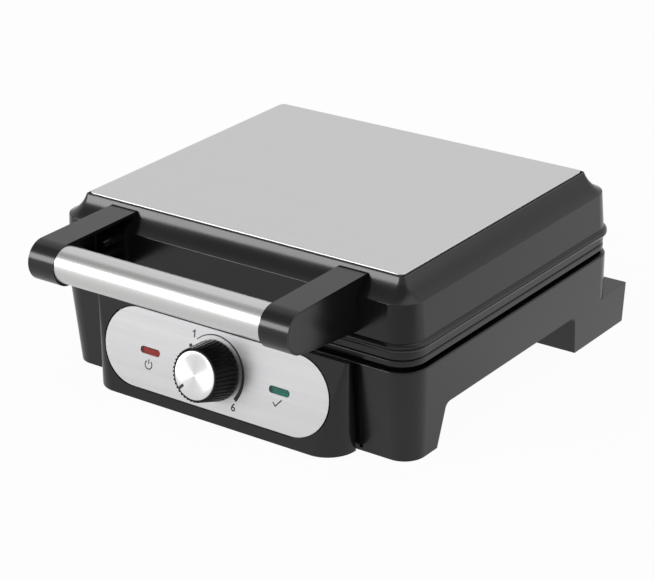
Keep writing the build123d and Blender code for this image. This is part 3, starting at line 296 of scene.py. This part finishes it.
def lamp_lens(name, node, deep, bright):
    """Tinted lens: cells of its prism back show through, and its left end is darkened by painted
    shade that stands in for the shadow of its recess.
    """
    # The third share and the two distances below it set the painted shade at the left end: how much
    # colour is left there, and where the shade fades out.
    cell_share, cloud_share, painted_shade_share = 0.9, 0.5, 0.12
    painted_shade_until, painted_shade_end = 3.2 * MM, 7.0 * MM
    material, tree, shader = new_material(
        name, IOR=1.49, Coat_Weight=0.15, Coat_Roughness=0.05
    )
    left_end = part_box(node)[0].x
    place = object_place(tree)
    prisms = {"Vector": place, "Scale": 650.0}
    cells = add_node(tree, "ShaderNodeTexVoronoi", prisms).outputs["Distance"]
    cloud = noise_at(tree, place, 260.0, 2.0)
    across = add_node(tree, "ShaderNodeSeparateXYZ", {0: place}).outputs[0]
    # Painted shade: the lens colour darkens towards its left end, where the recess would shade it.
    out_of_painted_shade = smooth_step(tree, across, left_end + painted_shade_until, left_end + painted_shade_end)
    clouds = calculate(tree, "MULTIPLY", cloud, cloud_share)
    blend = calculate(tree, "MULTIPLY_ADD", cells, cell_share, clouds)
    blend = calculate(tree, "MULTIPLY", blend, remap(tree, out_of_painted_shade, painted_shade_share, 1.0))
    tree.links.new(shade_between(tree, blend, deep, bright), shader.inputs["Base Color"])
    tree.links.new(remap(tree, cloud, 0.18, 0.3), shader.inputs["Roughness"])
    return material


def cooking_coat():
    """Dark non-stick coat: tiny pale specks in a nearly black, softly rough skin."""
    black, pale, speck_level = (0.018, 0.018, 0.02), (0.05, 0.05, 0.055), 0.66
    material, tree, shader = new_material("non_stick_coat", IOR=1.45)
    skin = noise_at(tree, object_place(tree), 1600.0, 1.0)
    specks = calculate(tree, "GREATER_THAN", skin, speck_level)
    tree.links.new(shade_between(tree, specks, black, pale), shader.inputs["Base Color"])
    tree.links.new(remap(tree, skin, 0.3, 0.48), shader.inputs["Roughness"])
    tree.links.new(bump_from(tree, skin, 0.02 * MM), shader.inputs["Normal"])
    return material


def spun_metal():
    """Spun cap: rings of fine grooves that stretch each highlight across them."""
    material, tree, shader = new_material("spun_cap", Metallic=1.0, Anisotropic=0.85)
    around = add_node(tree, "ShaderNodeUVMap", uv_map="spin")
    tangent = add_node(tree, "ShaderNodeTangent", direction_type="UV_MAP", uv_map="spin")
    parts = add_node(tree, "ShaderNodeSeparateXYZ", {0: around.outputs[0]})
    grooves = {"W": parts.outputs[1], "Scale": 90.0, "Detail": 3.0}
    rings = add_node(tree, "ShaderNodeTexNoise", grooves, noise_dimensions="1D").outputs[0]
    vary(tree, shader, rings, (0.88, 0.88, 0.88), (0.96, 0.96, 0.96), 0.34, 0.44)
    tree.links.new(tangent.outputs[0], shader.inputs["Tangent"])
    return material


def printed_ink():
    """Screen-printed ink, slightly uneven."""
    material, tree, shader = new_material("panel_ink")
    noise = noise_at(tree, object_place(tree), 900.0, 2.0)
    vary(tree, shader, noise, (0.012, 0.012, 0.013), (0.03, 0.03, 0.032), 0.4, 0.55)
    return material


black_housing = moulded_plastic(
    "black_housing",
    dark=(0.005, 0.005, 0.0055),
    light=(0.008, 0.008, 0.0085),
    smooth=0.16,
    rough=0.24,
    grain=0.5 * MM,
    depth=0.004 * MM,
    ior=1.47,
)
black_knob = moulded_plastic(
    "black_knob",
    dark=(0.002, 0.002, 0.0022),
    light=(0.004, 0.004, 0.0042),
    smooth=0.26,
    rough=0.34,
    grain=0.4 * MM,
    depth=0.004 * MM,
    ior=1.32,
)
white_holder = moulded_plastic(
    "white_holder",
    dark=(0.62, 0.61, 0.57),
    light=(0.7, 0.69, 0.65),
    smooth=0.5,
    rough=0.65,
    grain=0.5 * MM,
    depth=0.01 * MM,
)
rubber_pad = moulded_plastic(
    "rubber_pad",
    dark=(0.014, 0.014, 0.014),
    light=(0.03, 0.03, 0.03),
    smooth=0.7,
    rough=0.88,
    grain=0.35 * MM,
    depth=0.03 * MM,
)
brushed_top = brushed_metal(
    "brushed_top",
    dark=(0.64, 0.64, 0.645),
    light=(0.72, 0.72, 0.725),
    smooth=0.3,
    rough=0.42,
    length=60 * MM,
    width=0.35 * MM,
)
brushed_plate = brushed_metal(
    "brushed_plate",
    dark=(0.62, 0.62, 0.63),
    light=(0.72, 0.72, 0.73),
    smooth=0.28,
    rough=0.38,
    length=40 * MM,
    width=0.25 * MM,
    turn=(-PANEL_TILT, 0.0, 0.0),
)
tube_steel = brushed_metal(
    "tube_steel",
    dark=(0.64, 0.64, 0.64),
    light=(0.76, 0.76, 0.75),
    smooth=0.24,
    rough=0.32,
    length=50 * MM,
    width=0.3 * MM,
)
zinc_metal = plain_metal(
    "zinc_metal", dark=(0.5, 0.5, 0.5), light=(0.66, 0.66, 0.66), smooth=0.25, rough=0.4
)
element_sheath = plain_metal(
    "element_sheath",
    dark=(0.12, 0.11, 0.1),
    light=(0.26, 0.24, 0.22),
    smooth=0.4,
    rough=0.6,
    scale=120.0,
)
reflector_sheet = plain_metal(
    "reflector_sheet",
    dark=(0.62, 0.62, 0.63),
    light=(0.76, 0.76, 0.77),
    smooth=0.22,
    rough=0.34,
    scale=60.0,
)
lamp_glass = moulded_plastic(
    "lamp_glass",
    dark=(0.6, 0.5, 0.4),
    light=(0.75, 0.65, 0.55),
    smooth=0.08,
    rough=0.14,
    grain=1.0 * MM,
    depth=0.002 * MM,
)
red_lens = lamp_lens(
    "red_lens", "power_lens", deep=(0.02, 0.003, 0.002), bright=(0.4, 0.02, 0.012)
)
green_lens = lamp_lens(
    "green_lens", "ready_lens", deep=(0.002, 0.014, 0.012), bright=(0.008, 0.2, 0.15)
)
cast_plate = cooking_coat()
cap_metal = spun_metal()
panel_ink = printed_ink()

FINISHES = {
    "black_housing": black_housing,
    "brushed_plate": brushed_plate,
    "brushed_top": brushed_top,
    "tube_steel": tube_steel,
    "cap_aluminium": cap_metal,
    "black_knob": black_knob,
    "red_lens": red_lens,
    "green_lens": green_lens,
    "white_holder": white_holder,
    "lamp_glass": lamp_glass,
    "zinc_metal": zinc_metal,
    "cast_plate": cast_plate,
    "element_sheath": element_sheath,
    "reflector_sheet": reflector_sheet,
    "rubber_pad": rubber_pad,
}
for subpart in frame["record"]["subparts"]:
    mesh = nodes[subpart["node"]].data
    mesh.materials.clear()
    mesh.materials.append(FINISHES[subpart["material_slot"]])


# New pieces, as surfaces worked out with numpy


PANEL_AXES = np.array([PANEL_ACROSS, PANEL_UP, PANEL_OUT])


def panel_points(across, up, out):
    """Points of the tilted panel: the panel's middle plus its three directions."""
    local = np.stack(np.broadcast_arrays(across, up, out), axis=-1)
    return local @ PANEL_AXES + np.array(PANEL_MIDDLE)


def panel_distances(mesh):
    """A mesh's vertices as distances across, up and out of the panel's middle."""
    flat = np.zeros(len(mesh.vertices) * 3)
    mesh.vertices.foreach_get("co", flat)
    return (flat.reshape(-1, 3) - np.array(PANEL_MIDDLE)) @ PANEL_AXES.T


def grid_faces(rows, columns, closed=False, ring=False):
    """Quads of a grid whose points run row by row.

    closed joins the last column to the first, and ring the last row to the first.
    """
    row = np.arange(rows if ring else rows - 1)[:, None] * columns
    above = (row + columns) % (rows * columns)
    column = np.arange(columns if closed else columns - 1)[None, :]
    following = (column + 1) % columns
    corners = (row + column, row + following, above + following, above + column)
    return np.stack([np.broadcast_to(c, (row.size, column.size)) for c in corners], -1)


def add_piece(name, mesh, material, body):
    """A mesh object in one material, which rides on a body."""
    mesh.materials.clear()
    mesh.materials.append(material)
    piece = bpy.data.objects.new(name, mesh)
    bpy.context.scene.collection.objects.link(piece)
    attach(piece, body)
    return piece


def make_piece(name, points, faces, material, body):
    """Puts points and faces, an array or a list of faces, into a smooth piece."""
    mesh = bpy.data.meshes.new(name)
    if isinstance(faces, np.ndarray):
        faces = faces.reshape(-1, faces.shape[-1]).tolist()
    mesh.from_pydata(np.asarray(points, float).reshape(-1, 3).tolist(), [], faces)
    mesh.shade_smooth()
    return add_piece(name, mesh, material, body)


def panel_ring(name, angles, radii, half_widths, centre=(0.0, 0.0)):
    """A printed band: round the centre at each angle, half a width to each side."""
    angle = np.radians(angles)[None, :]
    reach = radii + np.array([1.0, -1.0])[:, None] * half_widths[None, :]
    across = centre[0] + reach * np.cos(angle)
    up = centre[1] + reach * np.sin(angle)
    points = panel_points(across, up, PRINT_RISE)
    faces = grid_faces(2, angle.size)
    turning_left = angles[-1] > angles[0]
    faces = faces if turning_left else faces[..., ::-1]
    return make_piece(name, points, faces, panel_ink, "base")


def heat_scale():
    """The scale round the knob: a hairline at the low end that swells to the high end.

    Its radius grows with the share of the way round, and its width with that share's power.
    """
    low_angle, high_angle, steps = 132.0, -38.6, 121
    low_radius, high_radius = 23.4 * MM, 24.7 * MM
    low_half, high_half, swell = 0.32 * MM, 1.47 * MM, 1.6
    share = np.linspace(0.0, 1.0, steps)
    angles = low_angle + (high_angle - low_angle) * share
    radii = low_radius + (high_radius - low_radius) * share
    half_widths = low_half + (high_half - low_half) * share**swell
    return panel_ring("heat_scale", angles, radii, half_widths)


def round_spot(name, centre, radius):
    """A filled disc: a band as wide as the radius, turned once round the centre."""
    angles = np.linspace(0.0, 360.0, 49)
    half = np.full(angles.size, radius / 2)
    return panel_ring(name, angles, half, half, centre)


def panel_bar(name, start, end, width):
    """A straight printed bar between two points of the panel."""
    first, last = np.array(start), np.array(end)
    along = (last - first) / np.linalg.norm(last - first)
    side = np.array([-along[1], along[0]]) * width / 2
    corners = np.array([[first - side, last - side], [first + side, last + side]])
    points = panel_points(corners[..., 0], corners[..., 1], PRINT_RISE)
    return make_piece(name, points, grid_faces(2, 2), panel_ink, "base")


def panel_number(name, text, centre):
    """A plain number, flat on the panel."""
    capital_share, thickening = 0.7, 0.12 * MM
    curve = bpy.data.curves.new(name, "FONT")
    curve.body = text
    curve.size = NUMBER_HEIGHT / capital_share
    curve.offset = thickening
    curve.align_x = "CENTER"
    curve.align_y = "CENTER"
    holder = bpy.data.objects.new(name + "_outline", curve)
    bpy.context.scene.collection.objects.link(holder)
    bpy.context.view_layer.update()
    depsgraph = bpy.context.evaluated_depsgraph_get()
    mesh = bpy.data.meshes.new_from_object(holder.evaluated_get(depsgraph))
    bpy.data.objects.remove(holder)
    flat = np.zeros(len(mesh.vertices) * 3)
    mesh.vertices.foreach_get("co", flat)
    across, up = flat.reshape(-1, 3)[:, :2].T + np.array(centre)[:, None]
    mesh.vertices.foreach_set("co", panel_points(across, up, PRINT_RISE).ravel())
    mesh.update()
    return add_piece(name, mesh, panel_ink, "base")


# The dial's print, in distances across and up from the panel's middle
OFF_DOT_AT = (-20.3 * MM, 11.9 * MM)
OFF_DOT_RADIUS = 1.4 * MM
NUMBER_HEIGHT = 5.2 * MM
LOW_NUMBER_AT = (-18.0 * MM, 20.4 * MM)
LOW_FLAG_TOP = (-17.9 * MM, 22.9 * MM)
LOW_FLAG_TIP = (-19.7 * MM, 21.4 * MM)
LOW_FLAG_WIDTH = 0.75 * MM
HIGH_NUMBER_AT = (18.6 * MM, -20.6 * MM)

heat_scale()
round_spot("off_dot", OFF_DOT_AT, OFF_DOT_RADIUS)
panel_number("low_number", "1", LOW_NUMBER_AT)
panel_bar("low_number_flag", LOW_FLAG_TOP, LOW_FLAG_TIP, LOW_FLAG_WIDTH)
panel_number("high_number", "6", HIGH_NUMBER_AT)

# The marks under the lamps
MARK_RADIUS = 2.9 * MM
MARK_LINE = 0.85 * MM
POWER_AT = (-54.3 * MM, -9.8 * MM)
READY_AT = (53.0 * MM, -8.6 * MM)


def power_mark():
    """A ring with an opening at the top, and an upright bar in the opening."""
    across, up = POWER_AT
    angles = np.linspace(55.0, -235.0, 61)
    radii = np.full(angles.size, MARK_RADIUS)
    half_widths = np.full(angles.size, MARK_LINE / 2)
    panel_ring("power_ring", angles, radii, half_widths, POWER_AT)
    bar_foot, bar_top = up + 0.5 * MM, up + MARK_RADIUS + 0.9 * MM
    panel_bar("power_bar", (across, bar_foot), (across, bar_top), MARK_LINE)


def ready_mark():
    """A tick: a short bar down to its foot, and a long bar up from it."""
    across, up = READY_AT
    foot = up - 2.4 * MM
    short_start, short_end = (across - 3.3 * MM, up + 0.1 * MM), (across - 1.0 * MM, foot)
    long_start, long_end = (across - 1.45 * MM, foot), (across + 3.5 * MM, up + 3.0 * MM)
    panel_bar("ready_tick_short", short_start, short_end, MARK_LINE)
    panel_bar("ready_tick_long", long_start, long_end, MARK_LINE)


power_mark()
ready_mark()

# The cap's face stands this far out of the panel's middle
cap_distances = panel_distances(nodes["knob_cap"].data)
CAP_FACE = cap_distances[:, 2].max()
CAP_RADIUS = np.hypot(cap_distances[:, 0], cap_distances[:, 1]).max()


def knob_cap_disc():
    """The spun cap: a profile of (share of the radius, height) turned round the knob's axis.

    It runs from a middle point over the face and a rolled edge to a middle point at the back,
    each closed by a fan. The map's u goes once round and its v is the share of the radius.
    """
    shares = np.array([0.03, 0.25, 0.5, 0.75, 0.955, 0.975, 0.99, 1.0, 1.0, 0.03])
    heights = np.array([0.0, 0.0, 0.0, 0.0, 0.0, -0.08, -0.25, -0.5, -0.8, -0.8]) * MM
    rows, steps = shares.size, 96
    angle = np.linspace(0.0, 2 * np.pi, steps, endpoint=False)[None, :]
    reach = shares[:, None] * CAP_RADIUS
    out = CAP_FACE + heights[:, None]
    rings = panel_points(reach * np.cos(angle), reach * np.sin(angle), out)
    middles = panel_points(np.zeros(2), np.zeros(2), CAP_FACE + heights[[0, -1]])
    points = np.concatenate([rings.reshape(-1, 3), middles])
    column = np.arange(steps)
    following = (column + 1) % steps
    last = (rows - 1) * steps
    front = np.stack([np.full(steps, rows * steps), column, following], axis=1)
    back = np.stack([np.full(steps, rows * steps + 1), last + following, last + column], axis=1)
    walls = grid_faces(rows, steps, closed=True)[..., ::-1].reshape(-1, 4)
    faces = walls.tolist() + front.tolist() + back.tolist()
    piece = make_piece("knob_cap_disc", points, faces, cap_metal, "knob")
    wall_u = (np.tile(column, rows - 1)[:, None] + np.array([1, 0, 0, 1])) / steps
    wall_v = shares[np.arange(rows - 1).repeat(steps)[:, None] + np.array([1, 1, 0, 0])]
    front_u = (column[:, None] + np.array([0.5, 0.0, 1.0])) / steps
    back_u = (column[:, None] + np.array([0.5, 1.0, 0.0])) / steps
    fan_v = np.broadcast_to(np.array([0.0, shares[0], shares[0]]), (steps, 3))
    u = np.concatenate([wall_u.ravel(), front_u.ravel(), back_u.ravel()])
    v = np.concatenate([wall_v.ravel(), fan_v.ravel(), fan_v.ravel()])
    uv = piece.data.uv_layers.new(name="spin")
    uv.data.foreach_set("uv", np.stack([u, v], axis=1).ravel())
    return piece


cap_disc = knob_cap_disc()
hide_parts("knob_cap")


def cap_pointer():
    """The pointer: a short black bar from the cap's rim towards its middle."""
    turn, half_width = math.radians(225.0), 1.0 * MM
    reach = np.array([16.2, 11.4]) * MM
    direction = np.array([math.cos(turn), math.sin(turn)])
    side = np.array([-direction[1], direction[0]]) * half_width
    flat = reach[:, None, None] * direction + np.array([-1.0, 1.0])[None, :, None] * side
    points = panel_points(flat[..., 0], flat[..., 1], CAP_FACE + PRINT_RISE)
    return make_piece("cap_pointer", points, grid_faces(2, 2), panel_ink, "knob")


cap_pointer()


def plate_gap_shade():
    """A black strip of painted shade over the gap round the top plate: a crowned strip swept along
    a rounded rectangle.

    A point of the strip is corner + (corner radius + s) * (cos a, sin a), where a goes a
    quarter turn at each corner, s crosses the strip and the height is crown * (1 - s^2 / w^2).
    Its two sides go down into the gap and are joined below.
    """
    gap, over_cover, depth = 0.8 * MM, 0.1 * MM, 1.2 * MM
    radius, half_width, crown = 0.9 * MM, 0.34 * MM, 0.35 * MM
    low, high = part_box("lid_top_plate")
    middle = (low + high) / 2
    half_x, half_y = (high.x - low.x + gap) / 2, (high.y - low.y + gap) / 2
    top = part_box("lid_cover")[1].z + over_cover
    turn = np.linspace(0.0, np.pi / 2, 9)
    angle = (turn[None, :] + np.arange(4)[:, None] * np.pi / 2).ravel()
    quarter = np.repeat(np.arange(4), turn.size)
    right, rear = (quarter == 0) | (quarter == 3), quarter < 2
    centre_x = middle.x + np.where(right, 1.0, -1.0) * (half_x - radius)
    centre_y = middle.y + np.where(rear, 1.0, -1.0) * (half_y - radius)
    side = np.array([-1.0, -1.0, -0.6, 0.0, 0.6, 1.0, 1.0])[:, None]
    sunk = np.array([1.0, 0.0, 0.0, 0.0, 0.0, 0.0, 1.0])[:, None] * depth
    reach = radius + side * half_width
    height = top + crown * (1.0 - side**2) - sunk
    x, y = centre_x + reach * np.cos(angle), centre_y + reach * np.sin(angle)
    points = np.stack(np.broadcast_arrays(x, y, height), axis=-1)
    faces = grid_faces(side.size, angle.size, closed=True, ring=True)[..., ::-1]
    # Painted shade: a dark strip in the rubber pads' finish, put where the gap round the plate is
    # only shaded.
    return make_piece("plate_gap_shade", points, faces, rubber_pad, "lid")


plate_gap_shade()


# Floor, backdrop and light

# Half the floor's width in metres, and the world's light on matte surfaces
FLOOR_REACH = 8.0
AMBIENT = 0.6

# Each lamp: where it stands, what it faces, its width and height, and its power in watts
LAMPS = {
    "key_box": ((-1.32, -1.83, 0.86), (0.0, 0.0, 0.08), (1.4, 0.8), 26.0),
    "side_box": ((1.9, 1.0, 0.9), (0.0, 0.05, 0.08), (1.7, 1.4), 3.5),
    "top_box": ((0.2, 0.7, 2.2), (0.0, 0.0, 0.1), (1.8, 1.4), 4.0),
}


def floor_gloss(tree):
    """How white the floor is in gloss: greyer in front, and dark past the table's front right edge.

    The grey depends on slant * x + y, and the edge on the distance along (edge_x, edge_y).
    """
    front_gloss, front, rear, slant = 0.4, -0.25, 0.15, 0.4
    past_edge, edge_start, edge_end, edge_x, edge_y = 0.1, 0.27, 0.37, 0.6, -0.8
    x, y = add_node(tree, "ShaderNodeSeparateXYZ", {0: object_place(tree)}).outputs[:2]
    depth = calculate(tree, "MULTIPLY_ADD", x, slant, y)
    grey = remap(tree, depth, front_gloss, 1.0, front, rear)
    part_y = calculate(tree, "MULTIPLY", y, edge_y)
    to_edge = calculate(tree, "MULTIPLY_ADD", x, edge_x, part_y)
    table = smooth_step(tree, to_edge, edge_start, edge_end, 1.0, past_edge)
    return calculate(tree, "MULTIPLY", grey, table)


def pale_floor():
    """A white floor that keeps a soft shadow, and shows white to the camera and in gloss."""
    white_share = 0.96
    span = np.linspace(-FLOOR_REACH, FLOOR_REACH, 3)
    x, y = np.meshgrid(span, span)
    points = np.stack([x, y, np.zeros_like(x)], axis=-1).reshape(-1, 3)
    mesh = bpy.data.meshes.new("pale_floor")
    mesh.from_pydata(points.tolist(), [], grid_faces(3, 3).reshape(-1, 4).tolist())
    material = bpy.data.materials.new("pale_floor")
    material.use_nodes = True
    tree = material.node_tree
    tree.nodes.clear()
    path = add_node(tree, "ShaderNodeLightPath").outputs
    gloss = calculate(tree, "MULTIPLY", path["Is Glossy Ray"], floor_gloss(tree))
    seen = calculate(tree, "MAXIMUM", gloss, path["Is Transmission Ray"])
    seen = calculate(tree, "MAXIMUM", path["Is Camera Ray"], seen)
    share = calculate(tree, "MULTIPLY", seen, white_share)
    matte = add_node(tree, "ShaderNodeBsdfDiffuse", {"Color": (0.8, 0.8, 0.8, 1.0)}).outputs[0]
    white = add_node(tree, "ShaderNodeEmission", {"Strength": 1.0}).outputs[0]
    mix = add_node(tree, "ShaderNodeMixShader", {0: share, 1: matte, 2: white})
    output = add_node(tree, "ShaderNodeOutputMaterial")
    tree.links.new(mix.outputs[0], output.inputs["Surface"])
    mesh.materials.append(material)
    floor = bpy.data.objects.new("pale_floor", mesh)
    bpy.context.scene.collection.objects.link(floor)


def studio_world():
    """White where the camera, gloss or glass sees it; ambient light on matte surfaces.

    In gloss a darker ceiling hangs over the front half, high up.
    """
    ceiling, height_start, height_end, rear_edge, front_edge = 0.5, 0.5, 0.68, 0.2, -0.05
    world = bpy.data.worlds.new("studio")
    world.use_nodes = True
    tree = world.node_tree
    tree.nodes.clear()
    path = add_node(tree, "ShaderNodeLightPath").outputs
    direction = add_node(tree, "ShaderNodeTexCoord").outputs["Generated"]
    parts = add_node(tree, "ShaderNodeSeparateXYZ", {0: direction}).outputs
    raised = smooth_step(tree, parts[2], height_start, height_end)
    ahead = smooth_step(tree, parts[1], rear_edge, front_edge)
    overhead = remap(tree, calculate(tree, "MULTIPLY", raised, ahead), 1.0, ceiling)
    white = calculate(tree, "MAXIMUM", path["Is Camera Ray"], path["Is Transmission Ray"])
    gloss = calculate(tree, "MULTIPLY", path["Is Glossy Ray"], overhead)
    seen = calculate(tree, "MAXIMUM", white, gloss)
    matte = calculate(tree, "MULTIPLY", path["Is Diffuse Ray"], AMBIENT)
    strength = calculate(tree, "MAXIMUM", seen, matte)
    background = add_node(tree, "ShaderNodeBackground", {"Strength": strength})
    output = add_node(tree, "ShaderNodeOutputWorld")
    tree.links.new(background.outputs[0], output.inputs["Surface"])
    bpy.context.scene.world = world


def soft_box(name, place, aim, size, power):
    """A rectangular studio lamp at place, turned to face aim."""
    data = bpy.data.lights.new(name, "AREA")
    data.shape = "RECTANGLE"
    data.size, data.size_y = size
    data.energy = power
    lamp = bpy.data.objects.new(name, data)
    direction = Vector(aim) - Vector(place)
    turned = direction.to_track_quat("-Z", "Y").to_matrix().to_4x4()
    lamp.matrix_world = Matrix.Translation(place) @ turned
    bpy.context.scene.collection.objects.link(lamp)


pale_floor()
studio_world()
for lamp_name, (place, aim, size, power) in LAMPS.items():
    soft_box(lamp_name, place, aim, size, power)

bpy.context.scene.view_settings.view_transform = "Standard"
